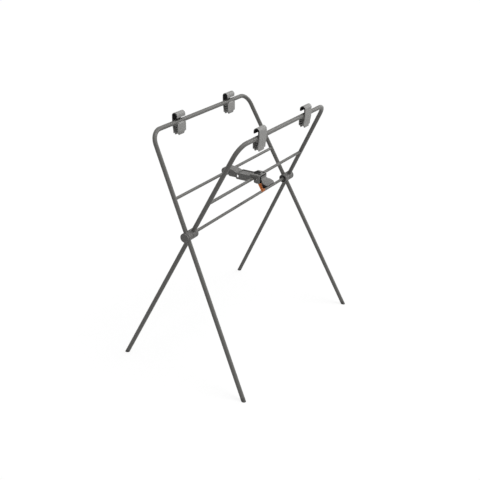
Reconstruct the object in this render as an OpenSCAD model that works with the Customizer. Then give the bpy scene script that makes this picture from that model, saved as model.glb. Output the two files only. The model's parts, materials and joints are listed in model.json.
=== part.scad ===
// Folding bath stand: two bent-tube frames cross in an X and turn on one long
// pivot rod. A latching strut bridges the two crossbars, and four spring clips
// on the rails hold the rim of the bath.
// X runs along the rails, Y across them and Z up. The origin is on the floor
// in the middle of the stand. The back frame carries the +Y rail, and the
// front frame is the same frame turned half a turn about Z.

/* [Stand] */
// Height of the pivot rod above the floor
pivot_height = 540; // [480:5:580]
// Height of the middle of the rail tubes
rail_height = 872; // [840:2:900]
// Lean of each frame from upright, in degrees
frame_lean = 26.6; // [24:0.2:28]
// Distance between the two hubs, middle to middle
hub_span = 686; // [600:2:760]
// How far each leg runs outwards for each millimetre of drop
leg_splay = 0.1136; // [0.08:0.0002:0.13]
// Distance along X between the two frames, tube middle to tube middle
frame_offset = 26; // [24:1:30]

/* [Tubes] */
// Outer diameter of the frame tube
tube_d = 16; // [16:1:18]
// Wall of the frame tube
tube_wall = 1.2; // [1:0.1:2]
// Bend radius of the frame tube at its middle line
bend_r = 50; // [40:1:60]
// Diameter of the crossbars and of the pivot rod
bar_d = 11; // [9:0.5:12]
// Wall of the crossbars
bar_wall = 1; // [0.8:0.1:1.5]
// Height of the crossbars on their frames
bar_height = 659; // [640:1:670]

/* [Hubs] */
// Outer diameter of the hub barrels
hub_d = 34; // [30:1:36]
// Length of the barrel on the outer tube
hub_outer_length = 23.5; // [22:0.5:26]
// Length of the barrel on the inner tube
hub_inner_length = 31; // [30:0.5:36]
// Diameter of the rod's turned ends inside the hubs
journal_d = 6; // [5:0.5:7]

/* [Clips] */
// Distance of each rim clip from the middle of its rail
clip_place = 162; // [120:1:200]
// Length of a clip along the rail
clip_length = 48; // [40:1:56]
// How far the clip rises above the middle of the rail
clip_rise = 35; // [32:0.5:38]
// How far the clip hangs below the middle of the rail
clip_drop = 47; // [44:0.5:50]

/* [Strut] */
// Width of the strut's latch housing
strut_width = 56; // [54:1:60]
// Width of the strut's arm
arm_width = 48; // [44:1:50]
// Width of the clamp on the back crossbar
clamp_width = 42; // [40:1:44]
// Width of the handle at its free end
handle_width = 58; // [50:1:60]
// Width of the release trigger
trigger_width = 20; // [16:1:22]

/* [Feet] */
// Length of the foot plug that shows below the tube
foot_length = 13; // [10:1:18]

/* [Hidden] */
$fn = 64;
corner_steps = 6;

// Frame geometry, in the plane of a frame: x along the rail, z up the plane
tube_r = tube_d / 2;
tube_bore_r = tube_r - tube_wall;
bar_r = bar_d / 2;
rail_up = (rail_height - pivot_height) / cos(frame_lean);
bar_up = (bar_height - pivot_height) / cos(frame_lean);
foot_down = pivot_height / cos(frame_lean);
splay_angle = atan(leg_splay * cos(frame_lean));
corner_x = hub_span / 2 - rail_up * tan(splay_angle);
bend_turn = 90 - splay_angle;
bend_run = bend_r * tan(bend_turn / 2);
bar_y = (bar_height - pivot_height) * tan(frame_lean);
rail_y = (rail_height - pivot_height) * tan(frame_lean);
bar_gap = 2 * bar_y;

// Hub places along X, measured on the left hub
hub_split = 0.4;
washer_r = 10.5;
hub_inner_end = hub_span / 2 - hub_split - hub_inner_length;
hub_outer_end = hub_span / 2 + hub_split + hub_outer_length;
cap_gap = 0.8;
cap_length = 7;
journal_r = journal_d / 2;
seat_fit = 0.05;
running_fit = 0.08;

// Strut profile: p runs from the back crossbar to the front one, q runs up
swing_gap = 0.3;
latch_ramp = 40;
arm_top = 7.8;
arm_base = -17;
panel_deep = 2.8;
clamp_base_q = -12.5;
clamp_tail = -20.5;
clamp_end = 45;
arm_start = clamp_end + 0.3;
housing_top = 16;
housing_base = -15.5;
housing_start = 104;
housing_end = 148;
trigger_pin_p = 135;
trigger_pin_q = -1;
trigger_pin_r = 2;
plug_p = 122;
plug_r = 13.4;
plug_seat = 3;
handle_root_width = 34;
handle_skin = 3.2;
// The top of the handle, from its root to its tip, with the radius of each bend
handle_line = rounded([[150.4, 9.4, 0], [151, -3.8, 18], [182, -16.4, 0]]);
// The underside of the grip, from the housing to the handle's tip
grip_line = rounded([[146, -4, 0], [157.5, -12, 12], [173.6, -28.4, 3], [180.9, -20.6, 0]]);

// Clip profile: u points away from the bath, v points up, from the rail's middle
curl_r = 11.5;
curl_u = 0.5;
curl_v = clip_rise - curl_r;
curl_skin = 2.2;
pad_thick = 3;
lip_v = 16;
plate_in = 8.7;
plate_out = curl_u + curl_r;
pad_slant = 3.6;
knuckle_length = 9;
knuckle_r = plate_out - 0.6;
clip_face = -13.5;
jaw_top = -9.5;

tube_colour = [0.34, 0.34, 0.33];
hub_colour = [0.38, 0.38, 0.37];
clip_colour = [0.55, 0.55, 0.54];
black_colour = [0.08, 0.08, 0.08];
foot_colour = [0.2, 0.2, 0.2];
orange_colour = [0.85, 0.35, 0.08];
steel_colour = [0.7, 0.7, 0.7];

// ---------- placing ----------

// The plane of the back frame: rail at +Y, feet at -Y
module in_back_plane() {
    translate([-frame_offset / 2, 0, pivot_height]) rotate([-frame_lean, 0, 0]) children();
}

// The other frame's side: half a turn about Z
module other_side() {
    rotate([0, 0, 180]) children();
}

// Both mirror halves along X
module both_ends() {
    children();
    mirror([1, 0, 0]) children();
}

// A profile whose x points to +Y and y to +Z, extruded along X about the middle
module across(length) {
    rotate([90, 0, 90]) linear_extrude(length, center = true) children();
}

// The same with the profile's x pointing to -Y
module across_front(length) {
    rotate([90, 0, -90]) linear_extrude(length, center = true) children();
}

module x_rod(r, from_x, to_x) {
    translate([from_x, 0, 0]) rotate([0, 90, 0]) cylinder(r = r, h = to_x - from_x);
}

// A body turned about Z from a profile of x as radius and y as height
module turned_up() {
    rotate_extrude() children();
}

// A body turned about X from a profile of x along the axis and y as radius
module turned() {
    rotate([90, 0, 0]) rotate([0, 90, 0]) rotate_extrude() rotate(90) mirror([0, 1]) children();
}

// ---------- plane shapes ----------

// Outline of a polygon whose corners are rounded: each corner is [x, y, radius]
function rounded(corners) = [
    for (i = [0:len(corners) - 1])
        let (
            count = len(corners),
            here = [corners[i][0], corners[i][1]],
            r = corners[i][2],
            before = corners[(i + count - 1) % count],
            after = corners[(i + 1) % count],
            u = [before[0], before[1]] - here,
            v = [after[0], after[1]] - here,
            u1 = u / norm(u),
            v1 = v / norm(v),
            opening = acos(u1 * v1),
            reach = r / tan(opening / 2),
            middle = here + (u1 + v1) / norm(u1 + v1) * r / sin(opening / 2),
            from = here + u1 * reach - middle,
            to = here + v1 * reach - middle,
            turn = 180 - opening
        )
        for (k = [0:(r > 0 ? corner_steps : 0)])
            r > 0
                ? middle + (sin(turn * (1 - k / corner_steps)) * from + sin(turn * k / corner_steps) * to)
                    / sin(turn)
                : here
];

module bar_2d(a, b, r) {
    d = b - a;
    n = [-d[1], d[0]] * r / norm(d);
    translate(a) circle(r);
    translate(b) circle(r);
    polygon([a + n, b + n, b - n, a - n]);
}

module ring_2d(r_in, r_out, from_angle, to_angle) {
    reach = 2 * r_out;
    step = (to_angle - from_angle) / 6;
    difference() {
        intersection() {
            circle(r_out);
            polygon(concat([[0, 0]], [for (i = [0:6])
                reach * [cos(from_angle + i * step), sin(from_angle + i * step)]]));
        }
        circle(r_in);
    }
}

// ---------- frames ----------

// Straight leg on the +x side, from the bend to a distance below the pivot
module leg_bar(r, top, bottom) {
    translate([hub_span / 2, 0, 0]) rotate([0, -splay_angle, 0])
        translate([0, 0, -bottom]) cylinder(r = r, h = top + bottom);
}

leg_top = rail_up / cos(splay_angle) - bend_run;
leg_bottom = foot_down / cos(splay_angle) - foot_length;

// A ring a hair proud of the tube, widest in the middle, that laps a joint of
// a straight run and a bend
module joint_ring(r) {
    half = 2;
    proud = 0.1;
    for (side = [0, 1]) mirror([0, 0, side]) cylinder(r1 = r + proud, r2 = r - proud, h = half);
}

// The whole bent tube at one radius: rail, two bends and two legs
module bent_bar(r, leg_end) {
    rail_half = corner_x - bend_run;
    translate([0, 0, rail_up]) x_rod(r, -rail_half, rail_half);
    both_ends() {
        translate([rail_half, 0, rail_up - bend_r]) rotate([90, 0, 0]) rotate([0, 0, splay_angle])
            rotate_extrude(angle = bend_turn) translate([bend_r, 0]) circle(r);
        leg_bar(r, leg_top, leg_end);
        translate([rail_half, 0, rail_up]) rotate([0, 90, 0]) joint_ring(r);
        translate([hub_span / 2, 0, 0]) rotate([0, -splay_angle, 0]) translate([0, 0, leg_top])
            joint_ring(r);
    }
}

module frame_tube() {
    in_back_plane() difference() {
        bent_bar(tube_r, leg_bottom);
        bent_bar(tube_bore_r, leg_bottom + 1);
        both_ends() x_rod(journal_r + running_fit, hub_span / 2 - 20, hub_span / 2 + 20);
    }
}

module crossbar() {
    in_back_plane() translate([0, 0, bar_up]) difference() {
        x_rod(bar_r, -hub_span / 2, hub_span / 2);
        x_rod(bar_r - bar_wall, -hub_span / 2 - 1, hub_span / 2 + 1);
        translate([0, 0, -bar_up]) both_ends() leg_bar(tube_r, bar_up + 60, 0);
        both_ends() translate([hub_span / 2 - bar_up * tan(splay_angle), -20, -20]) cube(40);
    }
}

module back_rail_frame() {
    color(tube_colour) frame_tube();
}

module front_rail_frame() {
    color(tube_colour) other_side() frame_tube();
}

module back_crossbar() {
    color(tube_colour) crossbar();
}

module front_crossbar() {
    color(tube_colour) other_side() crossbar();
}

// The rod runs from hub to hub, and its turned ends pass through both tubes
module pivot_rod() {
    journal_end = hub_outer_end + cap_gap + cap_length - 3;
    shoulder = hub_inner_end + 8;
    color(tube_colour) translate([0, 0, pivot_height]) {
        x_rod(bar_r, -shoulder, shoulder);
        both_ends() x_rod(journal_r, shoulder - 1, journal_end);
    }
}

// ---------- hubs ----------

// A barrel's outline from one end to the other, with rounded rims
module barrel_2d(from_x, to_x, r, rim) {
    translate([from_x, 0]) square([to_x - from_x, r - rim]);
    translate([from_x + rim, 0]) square([to_x - from_x - 2 * rim, r]);
    for (x = [from_x + rim, to_x - rim]) translate([x, r - rim]) circle(rim);
}

// The hole for the back frame's left leg through a left hub part
module back_leg_hole() {
    in_back_plane() mirror([1, 0, 0]) leg_bar(tube_r + seat_fit, 60, 60);
}

module front_leg_hole() {
    other_side() in_back_plane() leg_bar(tube_r + seat_fit, 60, 60);
}

module hub_outer() {
    difference() {
        translate([0, 0, pivot_height]) difference() {
            turned() barrel_2d(-hub_outer_end, -hub_span / 2 - hub_split, hub_d / 2, 1.2);
            x_rod(journal_r + running_fit, -hub_outer_end - 1, -hub_span / 2 + 1);
        }
        back_leg_hole();
    }
}

// The inner barrel has a ring-shaped recess round the rod and an oval groove in front
module hub_inner() {
    groove_x = -hub_span / 2 + frame_offset / 2 + 9;
    recess_depth = 7;
    difference() {
        translate([0, 0, pivot_height]) difference() {
            turned() barrel_2d(-hub_span / 2 + hub_split, -hub_inner_end, hub_d / 2, 2);
            x_rod(journal_r + running_fit, -hub_span / 2 - 1, -hub_inner_end + 1);
            x_rod(bar_r + 0.3, -hub_inner_end - 8.3, -hub_inner_end + 1);
            difference() {
                x_rod(hub_d / 2 - 3, -hub_inner_end - recess_depth, -hub_inner_end + 1);
                x_rod(bar_r + 2, -hub_inner_end - recess_depth - 1, -hub_inner_end + 2);
            }
            rotate([30, 0, 0]) translate([groove_x, -hub_d / 2, 0]) rotate([90, 0, 0])
                linear_extrude(5, center = true) difference() {
                    bar_2d([-3.5, 0], [3.5, 0], 5.5);
                    bar_2d([-3.5, 0], [3.5, 0], 3.6);
                }
        }
        front_leg_hole();
    }
}

module hub_washer() {
    translate([0, 0, pivot_height]) difference() {
        x_rod(washer_r, -hub_span / 2 - hub_split + 0.05, -hub_span / 2 + hub_split - 0.05);
        x_rod(journal_r + running_fit, -hub_span / 2 - 2, -hub_span / 2 + 2);
    }
}

module hub_cap() {
    outer = hub_outer_end + cap_gap + cap_length;
    translate([0, 0, pivot_height]) difference() {
        turned() barrel_2d(-outer, -hub_outer_end - cap_gap, hub_d / 2, 2.4);
        x_rod(journal_r + seat_fit, -outer + 3, -hub_outer_end);
    }
}

module left_hub_outer() {
    color(hub_colour) hub_outer();
}

module left_hub_inner() {
    color(hub_colour) hub_inner();
}

module left_hub_washer() {
    color(black_colour) hub_washer();
}

module left_hub_cap() {
    color(hub_colour) hub_cap();
}

module right_hub_outer() {
    color(hub_colour) other_side() hub_outer();
}

module right_hub_inner() {
    color(hub_colour) other_side() hub_inner();
}

module right_hub_washer() {
    color(black_colour) other_side() hub_washer();
}

module right_hub_cap() {
    color(hub_colour) other_side() hub_cap();
}

// ---------- feet ----------

// A plug whose collar is flush with the tube and cut level with the floor
module foot() {
    stem_length = 22;
    difference() {
        in_back_plane() translate([hub_span / 2, 0, 0]) rotate([0, -splay_angle, 0])
            translate([0, 0, -leg_bottom]) {
                translate([0, 0, -foot_length - 12]) cylinder(r = tube_r, h = foot_length + 12);
                translate([0, 0, -1]) cylinder(r = tube_bore_r - 0.6, h = stem_length + 1);
                for (rib = [3:6:stem_length - 2]) translate([0, 0, rib])
                    cylinder(r = tube_bore_r - seat_fit, h = 1.6);
            }
        translate([-hub_span, -hub_span, -100]) cube([2 * hub_span, 2 * hub_span, 100]);
    }
}

module front_right_foot() {
    color(foot_colour) foot();
}

module front_left_foot() {
    color(foot_colour) translate([-frame_offset, 0, 0]) mirror([1, 0, 0]) foot();
}

module back_left_foot() {
    color(foot_colour) other_side() front_right_foot();
}

module back_right_foot() {
    color(foot_colour) other_side() front_left_foot();
}

// ---------- rim clips ----------

// The hook plate: a curl over the rim, a plate outside the rail and a squeeze pad
module lever_2d() {
    translate([curl_u, curl_v]) ring_2d(curl_r - curl_skin, curl_r, 0, 180);
    translate([curl_u - curl_r, lip_v + curl_skin / 2]) square([curl_skin, curl_v - lip_v - curl_skin / 2]);
    translate([curl_u - curl_r + curl_skin / 2, lip_v + curl_skin / 2]) circle(curl_skin / 2);
    translate([plate_out - curl_skin, 8]) square([curl_skin, curl_v - 8]);
    polygon([
        [plate_out, 14], [plate_out, -8], [plate_out - pad_slant, -28],
        [plate_out - 1.3 * pad_slant, -clip_drop + 1], [plate_in - 1.4 * pad_slant, -clip_drop + 1],
        [plate_in - pad_slant, -28], [plate_in, -8], [plate_in, 12]
    ]);
}

// Half rings under the rail let the hook plate turn on it
module knuckle_2d() {
    difference() {
        union() {
            ring_2d(tube_r + running_fit, knuckle_r, 195, 372);
            translate([5, -8]) square([plate_out - 6, 10]);
        }
        circle(tube_r + running_fit);
    }
}

module clip_lever() {
    corner = 8;
    difference() {
        across(clip_length) lever_2d();
        both_ends() translate([clip_length / 2 - corner, -30, -clip_drop - 1]) cube([corner + 1, 60, 9]);
    }
    both_ends() translate([(clip_length - knuckle_length) / 2, 0, 0]) across(knuckle_length) knuckle_2d();
}

// Rubber lining of the curl and of the plate above the rail
module pad_2d() {
    inner_u = plate_out - curl_skin;
    translate([curl_u, curl_v]) ring_2d(curl_r - curl_skin - pad_thick, curl_r - curl_skin, 0, 180);
    translate([curl_u - curl_r + curl_skin, lip_v + 0.5]) square([pad_thick, curl_v - lip_v - 0.5]);
    polygon([
        [inner_u, curl_v], [inner_u - pad_thick, curl_v], [inner_u - pad_thick, 9], [plate_in, 9],
        [plate_in, 12.2], [inner_u, 13]
    ]);
}

module clip_pad() {
    across(clip_length + 1) pad_2d();
}

// Fixed jaw: a saddle under the rail and a ribbed block on the bath's side
module jaw_side_2d() {
    polygon([
        [clip_face, jaw_top], [clip_face, -33], [clip_face + 3, -clip_drop + 1],
        [clip_face + 5.6, -clip_drop + 1], [clip_face + 2.6, -33], [clip_face + 2.6, jaw_top]
    ]);
}

module jaw_ribs_2d() {
    for (i = [0:4]) {
        rib_v = jaw_top - 2.9 - 6.8 * i;
        translate([clip_face + 1, rib_v - 2]) square([17 - 2.3 * i, 2]);
    }
}

module jaw_saddle_2d() {
    difference() {
        union() {
            ring_2d(tube_r + seat_fit, tube_r + 2.8, 165, 296);
            translate([clip_face, -16]) square([17.5, 16]);
        }
        circle(tube_r + seat_fit);
        translate([clip_face - 1, -7]) rotate(-55) translate([-30, 0]) square([60, 40]);
    }
}

module clip_body() {
    corner = 8;
    saddle_length = clip_length - 2 * knuckle_length - 1;
    web = 2.4;
    difference() {
        union() {
            across(clip_length) jaw_side_2d();
            across(clip_length - 4) jaw_ribs_2d();
            across(saddle_length) jaw_saddle_2d();
            for (x = [-saddle_length / 2 + web, saddle_length / 2 - web])
                translate([x, 0, 0]) across(web) polygon([
                    [clip_face + 1, -13], [3.4, -13], [-6, -clip_drop + 2], [clip_face + 4, -clip_drop + 2]
                ]);
        }
        both_ends() translate([clip_length / 2 - corner, -30, -clip_drop - 1]) cube([corner + 1, 60, 10]);
    }
}

module at_back_clip(side) {
    translate([side * clip_place, rail_y, rail_height]) children();
}

module front_left_clip_body() {
    color(clip_colour) other_side() at_back_clip(1) clip_body();
}

module front_right_clip_body() {
    color(clip_colour) other_side() at_back_clip(-1) clip_body();
}

module back_left_clip_body() {
    color(clip_colour) at_back_clip(-1) clip_body();
}

module back_right_clip_body() {
    color(clip_colour) at_back_clip(1) clip_body();
}

module front_left_clip_lever() {
    color(clip_colour) other_side() at_back_clip(1) clip_lever();
}

module front_right_clip_lever() {
    color(clip_colour) other_side() at_back_clip(-1) clip_lever();
}

module back_left_clip_lever() {
    color(clip_colour) at_back_clip(-1) clip_lever();
}

module back_right_clip_lever() {
    color(clip_colour) at_back_clip(1) clip_lever();
}

module front_left_clip_pad() {
    color(black_colour) other_side() at_back_clip(1) clip_pad();
}

module front_right_clip_pad() {
    color(black_colour) other_side() at_back_clip(-1) clip_pad();
}

module back_left_clip_pad() {
    color(black_colour) at_back_clip(-1) clip_pad();
}

module back_right_clip_pad() {
    color(black_colour) at_back_clip(1) clip_pad();
}

// ---------- latching strut ----------

// Strut space: the profile's x is p and its y is q, from the back crossbar
module on_strut() {
    translate([0, bar_y, bar_height]) children();
}

module strut_slab(width) {
    across_front(width) children();
}

// A box in strut space, from p1 to p2 and q1 to q2, between two x values
module strut_box(x1, x2, p1, p2, q1, q2) {
    translate([x1, -p2, q1]) cube([x2 - x1, p2 - p1, q2 - q1]);
}

// A barrel round the crossbar and a wedge that thins towards the arm
module clamp_2d() {
    barrel_r = 14.6;
    barrel_base = -13;
    barrel_top = 18;
    polygon(rounded([
        [clamp_tail, barrel_base, barrel_r], [2.5, barrel_base, 10], [8.6, -6.5, 2], [14, clamp_base_q, 3],
        [clamp_end, clamp_base_q, 2], [clamp_end, 5.8, 2], [27, 13.4, 8], [clamp_tail, barrel_top, barrel_r]
    ]));
}

tenon_half = 8.5;
tenon_start = 13;
tenon_top = 4.5;
tenon_base = -4.5;
screw_p = 24;
screw_x = 13.5;
screw_head_q = clamp_base_q + 0.6;

// Both halves of the clamp, hollow for the crossbar and the arm's tenon
module clamp_shell() {
    gap = 0.1;
    top_slope = 5.5;
    top_at_bar = 17.6;
    difference() {
        intersection() {
            strut_slab(clamp_width) clamp_2d();
            // the long top edges are well rounded
            translate([0, 0, top_at_bar]) rotate([90 + top_slope, 0, 0])
                linear_extrude(160, center = true) strut_section_2d(clamp_width, -50, 0, 7);
        }
        x_rod(bar_r + running_fit, -strut_width, strut_width);
        strut_box(-tenon_half - gap, tenon_half + gap, tenon_start - gap, clamp_end + 1,
            tenon_base - gap, tenon_top + gap);
        // the wedge is open below, in front of the screws
        strut_box(3 - clamp_width / 2, clamp_width / 2 - 3, 31, clamp_end + 1,
            clamp_base_q - 1, tenon_top - 2);
        both_ends() translate([screw_x, -screw_p, 0]) {
            translate([0, 0, clamp_base_q - 1]) cylinder(r = 1.8, h = 6 - clamp_base_q);
            translate([0, 0, clamp_base_q - 1]) cylinder(r = 3.7, h = 4);
        }
    }
}

module strut_clamp_top() {
    color(clip_colour) on_strut() intersection() {
        clamp_shell();
        strut_box(-40, 40, clamp_tail - 1, clamp_end + 1, 0, 30);
    }
}

module strut_clamp_base() {
    color(clip_colour) on_strut() intersection() {
        clamp_shell();
        strut_box(-40, 40, clamp_tail - 1, clamp_end + 1, -20, 0);
    }
}

module strut_clamp_screws() {
    color(steel_colour) on_strut() both_ends() translate([screw_x, -screw_p, 0]) difference() {
        union() {
            translate([0, 0, screw_head_q]) cylinder(r = 3.5, h = 2.4);
            translate([0, 0, clamp_base_q + 2]) cylinder(r = 1.75, h = 2.8 - clamp_base_q);
        }
        translate([0, 0, clamp_base_q]) cylinder(r = 1.5, h = 2, $fn = 6);
    }
}

// Room for the front crossbar: a round seat that opens down along a ramp
module latch_slot_2d() {
    seat_r = bar_r + swing_gap;
    deep = 30;
    ramp_side = 180 - latch_ramp;
    translate([bar_gap, 0]) polygon(concat(
        [for (a = [0:10:ramp_side]) seat_r * [cos(a), sin(a)]],
        [seat_r * [cos(ramp_side), sin(ramp_side)] + deep * [-tan(latch_ramp), -1], [seat_r, -deep]]
    ));
}

module arm_outline_2d() {
    polygon(rounded([
        [arm_start, arm_base, 6], [housing_start + 6, arm_base, 0], [housing_start + 6, arm_top, 0],
        [arm_start, arm_top, 3]
    ]));
}

module housing_outline_2d() {
    polygon(rounded([
        [housing_start, -9, 5], [121, -11.5, 6], [137, housing_base, 8], [housing_end, housing_base, 3],
        [housing_end, housing_top, 4.5], [housing_start, housing_top, 8]
    ]));
}

module housing_plan_2d() {
    half = strut_width / 2;
    polygon(rounded([
        [half, -housing_start, 5], [half, -housing_end, 7],
        [-half, -housing_end, 7], [-half, -housing_start, 5]
    ]));
}

// A section across the strut whose long edges are rounded
module strut_section_2d(width, base, top, top_rim) {
    half = width / 2;
    polygon(rounded([[half, base, 1.5], [half, top, top_rim], [-half, top, top_rim], [-half, base, 1.5]]));
}

// The section run along the strut from p1 to p2
module strut_run(p1, p2) {
    translate([0, -p1, 0]) rotate([90, 0, 0]) linear_extrude(p2 - p1) children();
}

// Space for the trigger inside the housing
module trigger_room_2d() {
    polygon([
        [bar_gap - 1, -30], [bar_gap - 1, -4], [trigger_pin_p - 7, 6.4], [trigger_pin_p + 6, 6.4],
        [housing_end - 3, -2], [housing_end + 2, -10], [housing_end + 2, -30]
    ]);
}

// Points of a line moved to its underside
function under(points, depth) = [
    for (i = [0:len(points) - 1])
        let (
            step = points[min(i + 1, len(points) - 1)] - points[max(i - 1, 0)],
            along = step / norm(step)
        )
        points[i] + depth * [along[1], -along[0]]
];

function reversed(points) = [for (i = [len(points) - 1:-1:0]) points[i]];

module handle_layer_2d(depth_from, depth_to) {
    polygon(concat(under(handle_line, depth_from), reversed(under(handle_line, depth_to))));
}

// The handle from above: a neck at the housing that flares to a round-cornered tip
module handle_plan_2d(inset) {
    root_half = handle_root_width / 2 - inset;
    tip_half = handle_width / 2 - inset;
    tip_p = 182 - inset;
    tip_rim = 7 - inset;
    polygon(rounded([
        [root_half, -130, 0], [root_half, -155, 8], [tip_half, -171, 8], [tip_half, -tip_p, tip_rim],
        [-tip_half, -tip_p, tip_rim], [-tip_half, -171, 8], [-root_half, -155, 8], [-root_half, -130, 0]
    ]));
}

snap_x = 14.7;
snap_p = housing_end - 7.5;
snap_half = 2.6;
tongue_base = 7.2;
tongue_top = 9.4;
window_p = 52.4;
window_q = -4.6;

module strut_arm() {
    wall = 3;
    inner_half = arm_width / 2 - wall;
    ceiling = arm_top - panel_deep - 2.4;
    color(clip_colour) on_strut() {
        difference() {
            union() {
                intersection() {
                    strut_slab(arm_width) arm_outline_2d();
                    strut_run(arm_start, housing_start + 6)
                        strut_section_2d(arm_width, arm_base, arm_top, 1.5);
                }
                intersection() {
                    strut_slab(strut_width) housing_outline_2d();
                    strut_run(housing_start, housing_end)
                        strut_section_2d(strut_width, housing_base, housing_top, 2);
                    translate([0, 0, -30]) linear_extrude(60) housing_plan_2d();
                }
            }
            strut_slab(strut_width + 2) latch_slot_2d();
            // hollow underside of the arm, with cross ribs left standing
            difference() {
                strut_box(-inner_half, inner_half, 40, 98, arm_base - 1, ceiling);
                for (rib = [66, 82]) strut_box(-arm_width, arm_width, rib, rib + 2, arm_base + 6, arm_top);
            }
            // moulding windows through the side walls
            strut_slab(arm_width + 2) polygon(rounded([
                [window_p - 3.7, window_q - 5.2, 3], [window_p + 3.7, window_q - 5.2, 3],
                [window_p + 3.7, window_q + 5.2, 3], [window_p - 3.7, window_q + 5.2, 3]
            ]));
            strut_slab(trigger_width + 2) trigger_room_2d();
            translate([0, -trigger_pin_p, trigger_pin_q])
                x_rod(trigger_pin_r + seat_fit, -strut_width, strut_width);
            // round seat of the plug, sunk panel of the arm
            translate([0, -plug_p, housing_top - plug_seat]) cylinder(r = plug_r + 0.1, h = 10);
            translate([0, 0, arm_top - panel_deep]) linear_extrude(5) polygon(rounded([
                [arm_width / 2 - 4.5, -50, 4], [arm_width / 2 - 4.5, -housing_start + 3, 2],
                [4.5 - arm_width / 2, -housing_start + 3, 2], [4.5 - arm_width / 2, -50, 4]
            ]));
            // slot for the handle's tongue, and the two deep windows its snaps hold in
            strut_box(-snap_x - 3.5, snap_x + 3.5, snap_p - 4, housing_end + 1, tongue_base, tongue_top);
            for (side = [-1, 1]) strut_box(side * snap_x - snap_half, side * snap_x + snap_half,
                snap_p - snap_half, snap_p + snap_half, -6, housing_top + 1);
        }
        strut_box(-tenon_half, tenon_half, tenon_start, 60, tenon_base, tenon_top);
    }
}

// A knob that stands proud of the housing, with a dished top
module latch_plug() {
    height = plug_seat + 1.6;
    dish = 1.8;
    color(black_colour) on_strut() translate([0, -plug_p, housing_top - plug_seat]) difference() {
        turned_up() polygon(rounded([
            [0, 0, 0], [plug_r, 0, 0], [plug_r, height, 1], [0, height, 0]
        ]));
        translate([0, 0, height - dish]) cylinder(r1 = plug_r - 4.6, r2 = plug_r - 2.8, h = dish + 0.1);
    }
}

module latch_handle() {
    slack = 0.1;
    color(clip_colour) on_strut() {
        intersection() {
            strut_slab(handle_width + 2) handle_layer_2d(0, handle_skin);
            translate([0, 0, -40]) linear_extrude(80) handle_plan_2d(0);
            strut_box(-40, 40, housing_end + slack, 200, -60, 40);
        }
        strut_box(-snap_x - 3.5 + slack, snap_x + 3.5 - slack, snap_p - 4 + slack, housing_end + 1.6,
            tongue_base + slack, tongue_top - slack);
        for (side = [-1, 1]) strut_box(side * snap_x - snap_half + slack, side * snap_x + snap_half - slack,
            snap_p + 0.6, snap_p + snap_half - slack, tongue_base + 1, tongue_top + 2);
    }
}

module handle_grip() {
    color(black_colour) on_strut() intersection() {
        strut_slab(handle_width) polygon(concat(under(handle_line, handle_skin), reversed(grip_line)));
        translate([0, 0, -60]) linear_extrude(100) handle_plan_2d(1.5);
        strut_box(-40, 40, housing_end + 0.1, 200, -60, 40);
    }
}

// Orange lever: a hub on the pin, a nose below the crossbar and a curved finger bar
module trigger_2d() {
    hub_r = 5;
    translate([trigger_pin_p, trigger_pin_q]) polygon(rounded([
        [-hub_r, hub_r, hub_r - 0.5], [-hub_r - 0.5, -5, 1], [-13.4, -6.4, 0.8], [-12.4, -10.8, 0.8],
        [-3.4, -12.6, 2], [-4.2, -25, 28], [15.4, -54, 5], [24.5, -46.5, 5], [9, -26, 18],
        [9.6, -8, 4], [hub_r, hub_r, hub_r - 0.5]
    ]));
}

module release_trigger() {
    color(orange_colour) on_strut() difference() {
        strut_slab(trigger_width) trigger_2d();
        translate([0, -trigger_pin_p, trigger_pin_q])
            x_rod(trigger_pin_r + running_fit, -strut_width, strut_width);
    }
}

module trigger_pin() {
    color(steel_colour) on_strut() translate([0, -trigger_pin_p, trigger_pin_q])
        x_rod(trigger_pin_r, -strut_width / 2 + 1, strut_width / 2 - 1);
}

back_rail_frame();
front_rail_frame();
back_crossbar();
front_crossbar();
pivot_rod();
left_hub_outer();
left_hub_inner();
left_hub_washer();
left_hub_cap();
right_hub_outer();
right_hub_inner();
right_hub_washer();
right_hub_cap();
front_left_foot();
front_right_foot();
back_left_foot();
back_right_foot();
front_left_clip_body();
front_right_clip_body();
back_left_clip_body();
back_right_clip_body();
front_left_clip_lever();
front_right_clip_lever();
back_left_clip_lever();
back_right_clip_lever();
front_left_clip_pad();
front_right_clip_pad();
back_left_clip_pad();
back_right_clip_pad();
strut_clamp_top();
strut_clamp_base();
strut_clamp_screws();
strut_arm();
latch_plug();
latch_handle();
handle_grip();
release_trigger();
trigger_pin();
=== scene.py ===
"""A folding bath stand of bent tube: finishes, moulded detail, floor, light and camera."""

import json
import math

import bpy
import numpy as np
from mathutils import Matrix


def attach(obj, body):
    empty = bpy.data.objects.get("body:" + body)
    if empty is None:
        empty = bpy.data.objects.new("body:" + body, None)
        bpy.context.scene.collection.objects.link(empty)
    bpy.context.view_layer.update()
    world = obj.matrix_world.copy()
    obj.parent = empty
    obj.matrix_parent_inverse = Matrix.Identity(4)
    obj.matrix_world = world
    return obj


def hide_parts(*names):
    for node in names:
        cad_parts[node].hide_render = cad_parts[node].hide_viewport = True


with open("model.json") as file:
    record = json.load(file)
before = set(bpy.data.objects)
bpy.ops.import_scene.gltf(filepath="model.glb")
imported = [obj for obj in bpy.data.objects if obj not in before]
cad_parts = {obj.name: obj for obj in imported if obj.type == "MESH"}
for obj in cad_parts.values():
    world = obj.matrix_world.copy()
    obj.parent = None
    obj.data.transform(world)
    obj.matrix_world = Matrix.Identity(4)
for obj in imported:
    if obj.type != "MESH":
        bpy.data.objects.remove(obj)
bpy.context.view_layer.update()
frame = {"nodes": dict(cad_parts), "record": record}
nodes = frame["nodes"]
joints = {joint["name"]: joint for joint in frame["record"]["behaviour"]["joints"]}

MM = 0.001


# ---------- shader helpers ----------

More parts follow.
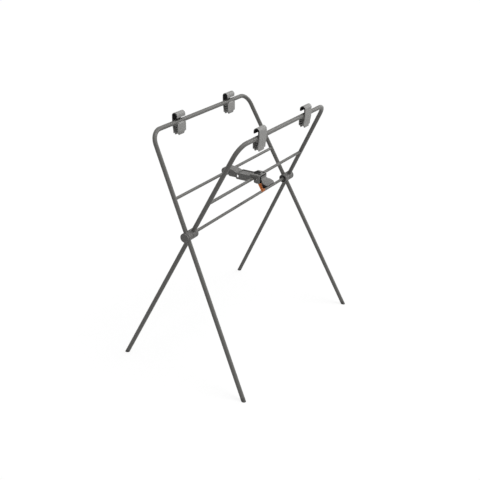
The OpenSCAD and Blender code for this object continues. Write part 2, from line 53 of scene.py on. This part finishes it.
def node_group(name, inputs, outputs):
    """An empty shader group with named sockets: (name, type, default) in, (name, type) out."""
    group = bpy.data.node_groups.new(name, "ShaderNodeTree")
    for label, kind, default in inputs:
        socket = group.interface.new_socket(name=label, in_out="INPUT", socket_type="NodeSocket" + kind)
        socket.default_value = default
    for label, kind in outputs:
        group.interface.new_socket(name=label, in_out="OUTPUT", socket_type="NodeSocket" + kind)
    start = group.nodes.new("NodeGroupInput")
    end = group.nodes.new("NodeGroupOutput")
    return group, start, end


def add(tree, kind, **settings):
    """A node of one kind, with its properties set by name."""
    made = tree.nodes.new("ShaderNode" + kind)
    for label, value in settings.items():
        setattr(made, label, value)
    return made


def math_node(tree, operation, first, second=None, clamp=False):
    """A Math node; each argument is a socket or a number."""
    made = add(tree, "Math", operation=operation, use_clamp=clamp)
    for place, value in enumerate((first, second)):
        if isinstance(value, (int, float)):
            made.inputs[place].default_value = value
        elif value is not None:
            tree.links.new(value, made.inputs[place])
    return made.outputs[0]


def mix_colours(tree, factor, first, second, blend="MIX"):
    """A colour Mix node; the factor and both colours are sockets or values."""
    made = add(tree, "Mix", data_type="RGBA", blend_type=blend)
    for label, value in (("Factor_Float", factor), ("A_Color", first), ("B_Color", second)):
        socket = next(s for s in made.inputs if s.identifier == label)
        if isinstance(value, bpy.types.NodeSocket):
            tree.links.new(value, socket)
        else:
            socket.default_value = value
    return next(s for s in made.outputs if s.identifier == "Result_Color")


# ---------- shared effects ----------

EDGE_SAMPLES = 6
GAP_SAMPLES = 8
FINE_TIMES = 4.0
GRAIN_DETAIL = 2.0
CLOUD_DETAIL = 3.0
EDGE_GAIN = 6.0
WEAR_PATCHES = 180.0
DUST_PATCHES = 60.0


def make_grain():
    """Height of a fine moulded or powder-coated grain: two noises, one four times finer."""
    group, start, end = node_group(
        "fine_grain", [("Size", "Float", 0.001), ("Fine Share", "Float", 0.4)], [("Height", "Float")])
    place = add(group, "TexCoord")
    frequency = math_node(group, "DIVIDE", 1.0, start.outputs["Size"])
    coarse = add(group, "TexNoise")
    fine = add(group, "TexNoise")
    for noise, times in ((coarse, 1.0), (fine, FINE_TIMES)):
        group.links.new(place.outputs["Object"], noise.inputs["Vector"])
        group.links.new(math_node(group, "MULTIPLY", frequency, times), noise.inputs["Scale"])
        noise.inputs["Detail"].default_value = GRAIN_DETAIL
    share = math_node(group, "MULTIPLY", fine.outputs["Fac"], start.outputs["Fine Share"])
    group.links.new(math_node(group, "ADD", coarse.outputs["Fac"], share), end.inputs["Height"])
    return group


def make_mottle():
    """A value near 0 that drifts up and down over the surface, for colour and gloss that vary."""
    group, start, end = node_group(
        "mottle", [("Size", "Float", 0.03), ("Contrast", "Float", 0.1)], [("Value", "Float")])
    place = add(group, "TexCoord")
    cloud = add(group, "TexNoise")
    cloud.inputs["Detail"].default_value = CLOUD_DETAIL
    group.links.new(place.outputs["Object"], cloud.inputs["Vector"])
    group.links.new(math_node(group, "DIVIDE", 1.0, start.outputs["Size"]), cloud.inputs["Scale"])
    centred = math_node(group, "SUBTRACT", cloud.outputs["Fac"], 0.5)
    group.links.new(math_node(group, "MULTIPLY", centred, start.outputs["Contrast"]), end.inputs["Value"])
    return group


def make_edge_wear():
    """A mask of rubbed edges: where the rounded normal leaves the true one, broken up by noise."""
    group, start, end = node_group(
        "edge_wear", [("Radius", "Float", 0.0006), ("Amount", "Float", 0.5)], [("Mask", "Float")])
    rounded_edge = add(group, "Bevel", samples=EDGE_SAMPLES)
    group.links.new(start.outputs["Radius"], rounded_edge.inputs["Radius"])
    shape = add(group, "NewGeometry")
    agreement = add(group, "VectorMath", operation="DOT_PRODUCT")
    group.links.new(rounded_edge.outputs["Normal"], agreement.inputs[0])
    group.links.new(shape.outputs["Normal"], agreement.inputs[1])
    leaving = math_node(group, "SUBTRACT", 1.0, agreement.outputs["Value"])
    edge = math_node(group, "MULTIPLY", leaving, EDGE_GAIN, True)
    place = add(group, "TexCoord")
    patches = add(group, "TexNoise")
    patches.inputs["Scale"].default_value = WEAR_PATCHES
    group.links.new(place.outputs["Object"], patches.inputs["Vector"])
    broken = math_node(group, "MULTIPLY", edge, patches.outputs["Fac"])
    group.links.new(math_node(group, "MULTIPLY", broken, start.outputs["Amount"], True), end.inputs["Mask"])
    return group


def make_dust():
    """A mask of settled dust: faces that look up, thinned by noise."""
    group, start, end = node_group("settled_dust", [("Amount", "Float", 0.1)], [("Mask", "Float")])
    shape = add(group, "NewGeometry")
    split = add(group, "SeparateXYZ")
    group.links.new(shape.outputs["Normal"], split.inputs[0])
    up = math_node(group, "MULTIPLY", split.outputs["Z"], 1.0, True)
    place = add(group, "TexCoord")
    patches = add(group, "TexNoise")
    patches.inputs["Scale"].default_value = DUST_PATCHES
    group.links.new(place.outputs["Object"], patches.inputs["Vector"])
    thinned = math_node(group, "MULTIPLY", up, patches.outputs["Fac"])
    group.links.new(math_node(group, "MULTIPLY", thinned, start.outputs["Amount"], True), end.inputs["Mask"])
    return group


def make_gap_shade():
    """A factor under 1 in narrow gaps and sockets: painted shade, darker where little light reaches."""
    group, start, end = node_group(
        "gap_shade", [("Reach", "Float", 0.004), ("Depth", "Float", 0.6)], [("Factor", "Float")])
    around = add(group, "AmbientOcclusion", samples=GAP_SAMPLES)
    group.links.new(start.outputs["Reach"], around.inputs["Distance"])
    hidden = math_node(group, "SUBTRACT", 1.0, around.outputs["AO"])
    darker = math_node(group, "MULTIPLY", hidden, start.outputs["Depth"])
    group.links.new(math_node(group, "SUBTRACT", 1.0, darker, True), end.inputs["Factor"])
    return group


grain = make_grain()
mottle = make_mottle()
gap_shade = make_gap_shade()
edge_wear = make_edge_wear()
dust = make_dust()


# ---------- finishes ----------

DUST_COLOUR = (0.42, 0.40, 0.37, 1.0)
COLOUR_CLOUDS = 0.05
GLOSS_CLOUDS = 0.012
GLOSS_DRIFT = 0.16
FINE_SHARE = 0.4
EDGE_RADIUS = 0.0005
# Reach and depth of the painted shade in gaps and sockets
GAP_REACH = 0.004
GAP_DEPTH = 0.75
WORN_TIMES = 1.5
WORN_LIFT = 0.02


def place_group(tree, group, **values):
    """A shared effect in a material's tree, with its own values; underscores stand for spaces."""
    made = add(tree, "Group", node_tree=group)
    for label, value in values.items():
        made.inputs[label.replace("_", " ")].default_value = value
    return made


def finish(name, colour, roughness, grain_size, grain_depth, drift=0.12, wear=0.35, dusty=0.06,
           metallic=0.0, specular=0.4):
    """A moulded or coated surface: drifting colour, rubbed edges, a little dust, painted shade in gaps, a
    fine grain.
    """
    worn = [min(1.0, channel * WORN_TIMES + WORN_LIFT) for channel in colour]
    made = bpy.data.materials.new(name)
    made.use_nodes = True
    tree = made.node_tree
    shader = tree.nodes["Principled BSDF"]
    shader.inputs["Metallic"].default_value = metallic
    shader.inputs["Specular IOR Level"].default_value = specular

    drifting = place_group(tree, mottle, Size=COLOUR_CLOUDS, Contrast=drift).outputs["Value"]
    shade = math_node(tree, "ADD", drifting, 1.0)
    tint = mix_colours(tree, 1.0, (*colour, 1.0), shade, "MULTIPLY")
    rubbed = place_group(tree, edge_wear, Radius=EDGE_RADIUS, Amount=wear).outputs["Mask"]
    tint = mix_colours(tree, rubbed, tint, (*worn, 1.0))
    settled = place_group(tree, dust, Amount=dusty).outputs["Mask"]
    tint = mix_colours(tree, settled, tint, DUST_COLOUR)
    # Painted shade: the colour is darkened in narrow gaps and sockets, where little light reaches.
    shaded = place_group(tree, gap_shade, Reach=GAP_REACH, Depth=GAP_DEPTH).outputs["Factor"]
    tint = mix_colours(tree, 1.0, tint, shaded, "MULTIPLY")
    tree.links.new(tint, shader.inputs["Base Color"])

    gloss_drift = place_group(tree, mottle, Size=GLOSS_CLOUDS, Contrast=GLOSS_DRIFT).outputs["Value"]
    tree.links.new(math_node(tree, "ADD", gloss_drift, roughness, True), shader.inputs["Roughness"])

    rounded_edge = add(tree, "Bevel", samples=EDGE_SAMPLES)
    rounded_edge.inputs["Radius"].default_value = EDGE_RADIUS
    bump = add(tree, "Bump")
    bump.inputs["Strength"].default_value = 1.0
    bump.inputs["Distance"].default_value = grain_depth
    height = place_group(tree, grain, Size=grain_size, Fine_Share=FINE_SHARE).outputs["Height"]
    tree.links.new(height, bump.inputs["Height"])
    tree.links.new(rounded_edge.outputs["Normal"], bump.inputs["Normal"])
    tree.links.new(bump.outputs["Normal"], shader.inputs["Normal"])
    return made


# For each slot: colour, roughness, and the size and depth of the grain in metres; then what differs.
FINISHES = {
    "frame_tube": ((0.150, 0.147, 0.138), 0.46, 0.0016, 0.00006, {"drift": 0.1}),
    "hub_plastic": ((0.150, 0.148, 0.142), 0.5, 0.0007, 0.00004, {}),
    "washer": ((0.03, 0.03, 0.03), 0.6, 0.0006, 0.00003, {"dusty": 0.02, "specular": 0.2}),
    "foot_rubber": ((0.105, 0.103, 0.098), 0.7, 0.0009, 0.00006, {"wear": 0.5}),
    "clip_plastic": ((0.325, 0.322, 0.311), 0.5, 0.0007, 0.00004, {}),
    "clip_rubber": ((0.014, 0.014, 0.014), 0.75, 0.0006, 0.00005,
                    {"wear": 0.1, "dusty": 0.02, "specular": 0.15}),
    "strut_plastic": ((0.180, 0.178, 0.171), 0.48, 0.0007, 0.00004, {}),
    "black_plastic": ((0.008, 0.008, 0.008), 0.5, 0.0006, 0.00003,
                      {"wear": 0.08, "dusty": 0.01, "specular": 0.08}),
    "grip_rubber": ((0.010, 0.010, 0.010), 0.72, 0.0006, 0.00005,
                    {"wear": 0.08, "dusty": 0.01, "specular": 0.1}),
    "orange_plastic": ((0.92, 0.25, 0.04), 0.4, 0.0008, 0.00002,
                       {"wear": 0.1, "dusty": 0.03, "specular": 0.2}),
    "steel": ((0.60, 0.60, 0.59), 0.32, 0.0005, 0.00001, {"metallic": 1.0, "wear": 0.1}),
}
finishes = {slot: finish(slot, *values, **extras) for slot, (*values, extras) in FINISHES.items()}


def dress_nodes():
    """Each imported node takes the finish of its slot, in its own material slots."""
    for part in frame["record"]["subparts"]:
        mesh = nodes[part["node"]].data
        mesh.materials.clear()
        mesh.materials.append(finishes[part["material_slot"]])


dress_nodes()


# ---------- surfaces ----------
# Places on the strut are in millimetres: across, along from the back bar to the front one, and up.

SHARP_ANGLE = math.radians(35)
EDGE_WIDTH = 0.7 * MM
EDGE_STEPS = 3

bar_y, bar_z = joints["strut_swing"]["pos_m"][1:]


def on_strut(across, along, up):
    """Points of the scene from places on the strut."""
    return np.stack(np.broadcast_arrays(across * MM, bar_y - along * MM, bar_z + up * MM), axis=-1)


def bezier(corners, steps):
    """A Bezier curve of any order: each pass blends neighbouring corners until one point is left."""
    share = np.linspace(0.0, 1.0, steps)[:, None, None]
    points = np.repeat(np.array(corners, float)[None], steps, axis=0)
    while points.shape[1] > 1:
        points = points[:, :-1] * (1.0 - share) + points[:, 1:] * share
    return points[:, 0]


def slab(upper, lower):
    """A closed skin between two surfaces over one grid: both faces, two long sides and two ends."""
    rows, columns = upper.shape[:2]
    points = np.concatenate([upper.reshape(-1, 3), lower.reshape(-1, 3)])
    top = np.arange(rows * columns).reshape(rows, columns)
    base = top + rows * columns

    def quads(a, b, c, d):
        return np.stack([a.ravel(), b.ravel(), c.ravel(), d.ravel()], axis=1)

    faces = np.concatenate([
        quads(top[:-1, :-1], top[1:, :-1], top[1:, 1:], top[:-1, 1:]),
        quads(base[:-1, :-1], base[:-1, 1:], base[1:, 1:], base[1:, :-1]),
        quads(top[:-1, 0], base[:-1, 0], base[1:, 0], top[1:, 0]),
        quads(top[:-1, -1], top[1:, -1], base[1:, -1], base[:-1, -1]),
        quads(top[0, :-1], top[0, 1:], base[0, 1:], base[0, :-1]),
        quads(top[-1, :-1], base[-1, :-1], base[-1, 1:], top[-1, 1:]),
    ])
    return points, faces


def rounded(corners, steps=5):
    """An outline whose corners are turned into arcs of the radii given as their third numbers."""
    outline = []
    for place, (along, up, radius) in enumerate(corners):
        here = np.array([along, up])
        before = np.array(corners[place - 1][:2]) - here
        after = np.array(corners[(place + 1) % len(corners)][:2]) - here
        before /= np.linalg.norm(before)
        after /= np.linalg.norm(after)
        half_opening = math.acos(before @ after) / 2
        reach = radius / math.tan(half_opening)
        middle = here + (before + after) / np.linalg.norm(before + after) * radius / math.sin(half_opening)
        turn = math.pi - 2 * half_opening
        share = np.linspace(0.0, 1.0, steps + 1)[:, None]
        start = here + before * reach - middle
        stop = here + after * reach - middle
        arc = (np.sin(turn * (1 - share)) * start + np.sin(turn * share) * stop) / math.sin(turn)
        outline.append(middle + arc)
    return np.concatenate(outline)


def prism(outline, start, stop, place=on_strut):
    """An outline run across the strut, or along a rail: two flat sides and a band of quads."""
    count = len(outline)
    sides = [place(np.full(count, x), outline[:, 0], outline[:, 1]) for x in (stop, start)]
    here = np.arange(count)
    after = np.roll(here, -1)
    band = np.stack([here, here + count, after + count, after], axis=1)
    return np.concatenate(sides), [here.tolist(), (here[::-1] + count).tolist(), *band.tolist()]


def block(across, along, up):
    """A straight block on the strut from pairs of limits."""
    x = np.array([across, across])
    p = np.array([along, along]).T
    base, top = up
    return slab(on_strut(x, p, np.full((2, 2), top)), on_strut(x, p, np.full((2, 2), base)))


def moulded(name, body, shells, slot, replaced):
    """A piece from closed shells, with its sharp edges rounded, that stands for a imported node."""
    points, faces = [], []
    for shell_points, shell_faces in shells:
        faces += [[len(points) + corner for corner in face] for face in shell_faces]
        points += shell_points.tolist()
    mesh = bpy.data.meshes.new(name)
    mesh.from_pydata(points, [], faces)
    mesh.polygons.foreach_set("use_smooth", np.ones(len(faces), bool))
    mesh.set_sharp_from_angle(angle=SHARP_ANGLE)
    mesh.materials.append(finishes[slot])
    piece = bpy.data.objects.new(name, mesh)
    bpy.context.scene.collection.objects.link(piece)
    rounding = piece.modifiers.new("edges", "BEVEL")
    rounding.width = EDGE_WIDTH
    rounding.segments = EDGE_STEPS
    rounding.limit_method = "ANGLE"
    rounding.angle_limit = SHARP_ANGLE
    rounding.harden_normals = True
    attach(piece, body)
    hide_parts(replaced)


# ---------- moulded handle, grip and trigger ----------

SEAM = 0.1
HOUSING_END = 148.0
HOUSING_TOP = 16.0

ROOT_TOP = (150.4, 9.4)
ROOT_BEND = (151.0, -2.0)
TIP = (182.0, -14.0)
HANDLE_SKIN = 3.2
CROWN = 1.4
ROOT_HALF = 17.0
TIP_HALF = 29.0
FLARE_START = 149.5
FLARE_END = 165.0
TIP_CORNER = 9.0

SNAP_X = 14.7
SNAP_PLACE = 140.5
SNAP_HALF = 2.5
SNAP_ALONG = (SNAP_PLACE + 0.6, SNAP_PLACE + 2.5)
SNAP_UP = (8.2, 11.4)
TONGUE_HALF = SNAP_X + 3.4
TONGUE_ALONG = (SNAP_PLACE - 3.9, HOUSING_END + 1.6)
TONGUE_UP = (7.3, 9.3)

GRIP_INSET = 1.5
GRIP_SEAM = 0.05
GRIP_END = TIP[0] - 1.6
GRIP_WALL = [(HOUSING_END, -13.0), (152.0, -26.0), (166.0, -34.0), (TIP[0] - 1.5, -19.5)]
GRIP_ROOF = [(HOUSING_END, -5.3), (160.0, -13.0), (168.0, -25.0), (174.0, -25.0), (TIP[0] - 1.5, -19.0)]
CHANNEL_HALF = 11.4
CHANNEL_WALL = 2.5
CHANNEL_STEP = 0.5
LEAST_GRIP = 0.6

# Painted shade: a thin black strip laid on the housing's front face, standing for a shaded gap there.
PAINTED_SHADE_STRIP_HALF = 22.0
PAINTED_SHADE_STRIP_ALONG = (HOUSING_END + 0.05, HOUSING_END + 0.6)
PAINTED_SHADE_STRIP_UP = (-12.5, 13.2)
# Painted shade: black studs and thin pads that fill the snap windows, standing for the shade inside them.
PAINTED_SHADE_STUD_HALF = 2.5
PAINTED_SHADE_STUD_UP = (11.45, HOUSING_TOP + 0.1)
PAINTED_SHADE_PAD_HALF = 3.2
PAINTED_SHADE_PAD_ALONG = (SNAP_PLACE - 5.2, SNAP_PLACE + 4.0)
PAINTED_SHADE_PAD_UP = (HOUSING_TOP + 0.05, HOUSING_TOP + 0.7)

PIN = (135.0, -1.0)
TRIGGER_HALF = 9.0
# Corners round the pin, with their radii: hub, nose under the crossbar, finger bar, and back.
TRIGGER_OUTLINE = [
    (-5.0, 5.0, 4.5), (-5.5, -5.0, 1.0), (-13.4, -6.4, 0.8), (-12.4, -10.8, 0.8), (-3.4, -12.6, 2.0),
    (-4.8, -22.0, 17.0), (14.0, -52.0, 3.0), (19.0, -48.0, 3.0), (4.4, -22.0, 15.0), (6.5, -8.0, 4.0),
    (5.0, 5.0, 4.5),
]


def handle_half(along, inset=0.0):
    """Half the handle's width: it flares from root to tip along a smooth step, with round corners."""
    share = np.clip((along - FLARE_START) / (FLARE_END - FLARE_START), 0.0, 1.0)
    half = ROOT_HALF + (TIP_HALF - ROOT_HALF) * share ** 2 * (3.0 - 2.0 * share)
    past = np.clip(along - (TIP[0] - TIP_CORNER), 0.0, TIP_CORNER - inset)
    return half - inset - (TIP_CORNER - np.sqrt(TIP_CORNER ** 2 - past ** 2))


def handle_line():
    """The handle's middle line from root to tip, in along and up, and its direction down out of it."""
    line = bezier([ROOT_TOP, ROOT_BEND, ROOT_BEND, TIP], 28)
    run = np.gradient(line, axis=0)
    run /= np.linalg.norm(run, axis=1, keepdims=True)
    return line, np.stack([run[:, 1], -run[:, 0]], axis=1)


def moulded_handle():
    """The crowned top skin of the handle, with the tongue and snaps that hold it in the housing."""
    line, down = handle_line()
    share = np.linspace(-1.0, 1.0, 13)
    half = handle_half(line[:, 0])
    across = half[:, None] * share
    shells = []
    for depth in (0.0, HANDLE_SKIN):
        sunk = depth + CROWN * share ** 2 * (half[:, None] / TIP_HALF)
        along = line[:, 0, None] + sunk * down[:, 0, None]
        up = line[:, 1, None] + sunk * down[:, 1, None]
        shells.append(on_strut(across, np.maximum(along, HOUSING_END + SEAM), up))
    tongue = block((-TONGUE_HALF, TONGUE_HALF), TONGUE_ALONG, TONGUE_UP)
    snaps = [block((x - SNAP_HALF, x + SNAP_HALF), SNAP_ALONG, SNAP_UP) for x in (-SNAP_X, SNAP_X)]
    moulded("moulded_handle", "strut", [slab(*shells), tongue, *snaps], "strut_plastic", "latch_handle")


def grip_sleeve_and_painted_shade():
    """The grip under the handle: a roof over the trigger's channel and walls beside it, with black painted
    shade: a thin strip on the housing's front face, and studs and pads in the snap windows.

    Its top follows the handle's underside. Across it, six columns step down from the walls' lower
    edge to the roof and back, and both edges are Bezier curves along the strut.
    """
    line, down = handle_line()
    under = line + (HANDLE_SKIN + GRIP_SEAM) * down
    along = np.linspace(HOUSING_END + SEAM, GRIP_END, 30)
    wall = bezier(GRIP_WALL, 60)
    ceiling = bezier(GRIP_ROOF, 60)
    top = np.interp(along, under[:, 0], under[:, 1])
    base = np.interp(along, wall[:, 0], wall[:, 1])
    roof = np.maximum(np.interp(along, ceiling[:, 0], ceiling[:, 1]), base)
    half = handle_half(along, GRIP_INSET)
    inner = np.minimum(CHANNEL_HALF, half - CHANNEL_WALL)
    across = np.stack([-half, -inner, -inner + CHANNEL_STEP, inner - CHANNEL_STEP, inner, half], axis=1)
    crowned = top[:, None] - CROWN * (across / TIP_HALF) ** 2
    lower = np.stack([base, base, roof, roof, base, base], axis=1)
    lower = np.minimum(lower, crowned - LEAST_GRIP)
    shell = slab(on_strut(across, along[:, None], crowned), on_strut(across, along[:, None], lower))
    # Painted shade: the thin black strip on the housing's front face.
    painted_shade_strip = block((-PAINTED_SHADE_STRIP_HALF, PAINTED_SHADE_STRIP_HALF), PAINTED_SHADE_STRIP_ALONG, PAINTED_SHADE_STRIP_UP)
    # Painted shade: black studs and pads in the snap windows.
    painted_shade_stud_along = (SNAP_PLACE - PAINTED_SHADE_STUD_HALF, SNAP_PLACE + PAINTED_SHADE_STUD_HALF)
    painted_shade_studs = []
    for x in (-SNAP_X, SNAP_X):
        painted_shade_studs.append(block((x - PAINTED_SHADE_STUD_HALF, x + PAINTED_SHADE_STUD_HALF), painted_shade_stud_along, PAINTED_SHADE_STUD_UP))
        painted_shade_studs.append(block((x - PAINTED_SHADE_PAD_HALF, x + PAINTED_SHADE_PAD_HALF), PAINTED_SHADE_PAD_ALONG, PAINTED_SHADE_PAD_UP))
    moulded("grip_sleeve_and_painted_shade", "strut", [shell, painted_shade_strip, *painted_shade_studs], "grip_rubber", "handle_grip")


def finger_trigger():
    """The release trigger: a hub on its pin, a nose under the crossbar and a slim curved finger bar."""
    outline = rounded(TRIGGER_OUTLINE) + PIN
    shells = [prism(outline, -TRIGGER_HALF, TRIGGER_HALF)]
    moulded("finger_trigger", "trigger", shells, "orange_plastic", "release_trigger")


# ---------- fixed jaws of the rim clips ----------
# Places on a clip are in millimetres from the rail's middle: along the rail, away from the bath, and up.

JAW_HALF = 24.0
JAW_FOOT_HALF = 16.0
JAW_TOP = -4.0
JAW_WALL = [(-13.5, JAW_TOP, 1.0), (-13.5, -33.0, 6.0), (-12.6, -37.5, 0.3), (-10.0, -37.5, 0.3),
            (-10.9, -33.0, 6.0), (-10.9, JAW_TOP, 1.0)]
JAW_FOOT = [(-12.8, -36.5, 0.2), (-10.5, -46.0, 0.6), (-7.9, -46.0, 0.6), (-10.2, -36.5, 0.2)]
JAW_WEB = [(-12.5, -13.0, 0.3), (-9.5, -45.0, 0.3), (-6.0, -45.0, 0.3), (3.4, -13.0, 0.3)]
WEB_HALF = 1.2
WEB_INSET = 2.4
SEAT_R = 8.1
SEAT_TURN = (296.0, 185.0)
SADDLE_BACK = [(-13.0, JAW_TOP), (-13.0, -16.0), (4.0, -16.0)]
SADDLE_HALF = 14.5
RIBS = 5
RIB_HALF = 22.0
RIB_STEP = 6.8
RIB_THICK = 2.0
RIB_ROUND = 0.8
RIB_ROOT = -12.5
RIB_LENGTH = 17.0
RIB_TAPER = 2.3
FIRST_RIB = -12.4


def on_clip(joint_name):
    """A function that gives points of the scene from places on one clip."""
    x, y, z = joints[joint_name]["pos_m"]
    out = math.copysign(1.0, y)

    def place(along, away, up):
        return np.stack(np.broadcast_arrays(x + out * along * MM, y + out * away * MM, z + up * MM), axis=-1)
    return place


def clip_jaw(side):
    """The fixed jaw: a wall on the bath's side up to the rail, a saddle under the rail, webs and ribs."""
    place = on_clip(side + "_clip")

    def run(outline, half, middle=0.0):
        return prism(outline[::-1], middle - half, middle + half, place)

    turn = np.radians(np.linspace(*SEAT_TURN, 16))
    seat = SEAT_R * np.stack([np.cos(turn), np.sin(turn)], axis=1)
    saddle = np.concatenate([seat, SADDLE_BACK])
    shells = [
        run(rounded(JAW_WALL), JAW_HALF),
        run(rounded(JAW_FOOT), JAW_FOOT_HALF),
        run(saddle, SADDLE_HALF),
    ]
    for middle in (-SADDLE_HALF + WEB_INSET, SADDLE_HALF - WEB_INSET):
        shells.append(run(rounded(JAW_WEB), WEB_HALF, middle))
    for step in range(RIBS):
        top = FIRST_RIB - RIB_STEP * step
        base = top - RIB_THICK
        end = RIB_LENGTH - RIB_TAPER * step + RIB_ROOT
        rib = [(RIB_ROOT, top, 0.0), (RIB_ROOT, base, 0.0), (end, base, RIB_ROUND), (end, top, RIB_ROUND)]
        half = RIB_HALF if step < RIBS - 1 else JAW_FOOT_HALF
        shells.append(run(rounded(rib, 3), half))
    moulded(side + "_jaw", side.split("_")[0] + "_frame", shells, "clip_plastic", side + "_clip_body")


moulded_handle()
grip_sleeve_and_painted_shade()
finger_trigger()
for jaw_side in ("front_left", "front_right", "back_left", "back_right"):
    clip_jaw(jaw_side)


# ---------- floor, light and camera ----------

FLOOR_HALF = 20.0
FLOOR_COLOUR = 0.75
SHADOW_COLOUR = 0.20
FLOOR_WHITE = 0.86
SURROUND_GREY = 0.20

# Direction that each lamp's light comes from, its spread in degrees and its strength
LAMPS = {
    "key_lamp": ((0.15, -0.45, 0.88), 40.0, 1.75),
    "side_lamp": ((0.90, -0.30, 0.30), 40.0, 0.80),
}

SENSOR_WIDTH = 36.0
LENS_LENGTH = 57.834
CAMERA_RIGHT = (0.530410, -0.847706, 0.007675)
CAMERA_UP = (0.357154, 0.231664, 0.904861)
CAMERA_BACK = (-0.768834, -0.477206, 0.425638)
CAMERA_PLACE = (-2.288738, -1.411597, 1.651381)


def grey(value):
    """A grey as a shader colour."""
    return (value, value, value, 1.0)


def seen_directly(tree):
    """1 for rays from the camera, a reflection or a clear material, 0 for light that falls on things."""
    ray = add(tree, "LightPath")
    mirrored = math_node(tree, "MAXIMUM", ray.outputs["Is Glossy Ray"], ray.outputs["Is Transmission Ray"])
    return math_node(tree, "MAXIMUM", ray.outputs["Is Camera Ray"], mirrored)


def studio_floor():
    """A wide pale floor: white to the camera and to reflections, with the stand's soft shadow kept."""
    mesh = bpy.data.meshes.new("studio_floor")
    corners = FLOOR_HALF * np.array([[-1, -1, 0], [1, -1, 0], [1, 1, 0], [-1, 1, 0]])
    mesh.from_pydata(corners.tolist(), [], [(0, 1, 2, 3)])
    floor = bpy.data.objects.new("studio_floor", mesh)
    bpy.context.scene.collection.objects.link(floor)
    paint = bpy.data.materials.new("studio_floor")
    paint.use_nodes = True
    tree = paint.node_tree
    tree.nodes.remove(tree.nodes["Principled BSDF"])
    pale = add(tree, "BsdfDiffuse")
    pale.inputs["Color"].default_value = grey(FLOOR_COLOUR)
    catcher = add(tree, "BsdfDiffuse")
    catcher.inputs["Color"].default_value = grey(SHADOW_COLOUR)
    white = add(tree, "Emission")
    white.inputs["Strength"].default_value = FLOOR_WHITE
    shown = add(tree, "AddShader")
    tree.links.new(catcher.outputs["BSDF"], shown.inputs[0])
    tree.links.new(white.outputs["Emission"], shown.inputs[1])
    blend = add(tree, "MixShader")
    tree.links.new(seen_directly(tree), blend.inputs["Fac"])
    tree.links.new(pale.outputs["BSDF"], blend.inputs[1])
    tree.links.new(shown.outputs["Shader"], blend.inputs[2])
    tree.links.new(blend.outputs["Shader"], tree.nodes["Material Output"].inputs["Surface"])
    mesh.materials.append(paint)


def studio_world():
    """A plain grey surround that shows as white behind the stand."""
    world = bpy.data.worlds.new("studio")
    world.use_nodes = True
    bpy.context.scene.world = world
    tree = world.node_tree
    dim = tree.nodes["Background"]
    dim.inputs["Color"].default_value = grey(SURROUND_GREY)
    white = add(tree, "Background")
    white.inputs["Color"].default_value = grey(1.0)
    blend = add(tree, "MixShader")
    tree.links.new(seen_directly(tree), blend.inputs["Fac"])
    tree.links.new(dim.outputs["Background"], blend.inputs[1])
    tree.links.new(white.outputs["Background"], blend.inputs[2])
    tree.links.new(blend.outputs["Shader"], tree.nodes["World Output"].inputs["Surface"])


def turned_to(right, up, back, place=(0.0, 0.0, 0.0)):
    """The matrix of a lamp or a camera from its three directions and its place."""
    turned = np.eye(4)
    turned[:3] = np.stack([right, up, back, place], axis=1)
    return Matrix(turned.tolist())


def soft_sun(name, direction, spread, strength):
    """A wide soft lamp far away, whose light comes from a direction."""
    light = bpy.data.lights.new(name, "SUN")
    light.energy = strength
    light.angle = math.radians(spread)
    lamp = bpy.data.objects.new(name, light)
    bpy.context.scene.collection.objects.link(lamp)
    back = np.array(direction) / np.linalg.norm(direction)
    right = np.cross([0.0, 1.0, 0.0], back)
    right /= np.linalg.norm(right)
    lamp.matrix_world = turned_to(right, np.cross(back, right), back)


def camera():
    """The photograph's camera: place, directions and focal length worked out from the frames' lines."""
    lens = bpy.data.cameras.new("camera")
    lens.sensor_width = SENSOR_WIDTH
    lens.lens = LENS_LENGTH
    made = bpy.data.objects.new("camera", lens)
    bpy.context.scene.collection.objects.link(made)
    made.matrix_world = turned_to(CAMERA_RIGHT, CAMERA_UP, CAMERA_BACK, CAMERA_PLACE)
    bpy.context.scene.camera = made


studio_floor()
studio_world()
for lamp_name, values in LAMPS.items():
    soft_sun(lamp_name, *values)
camera()
bpy.context.scene.view_settings.view_transform = "Standard"
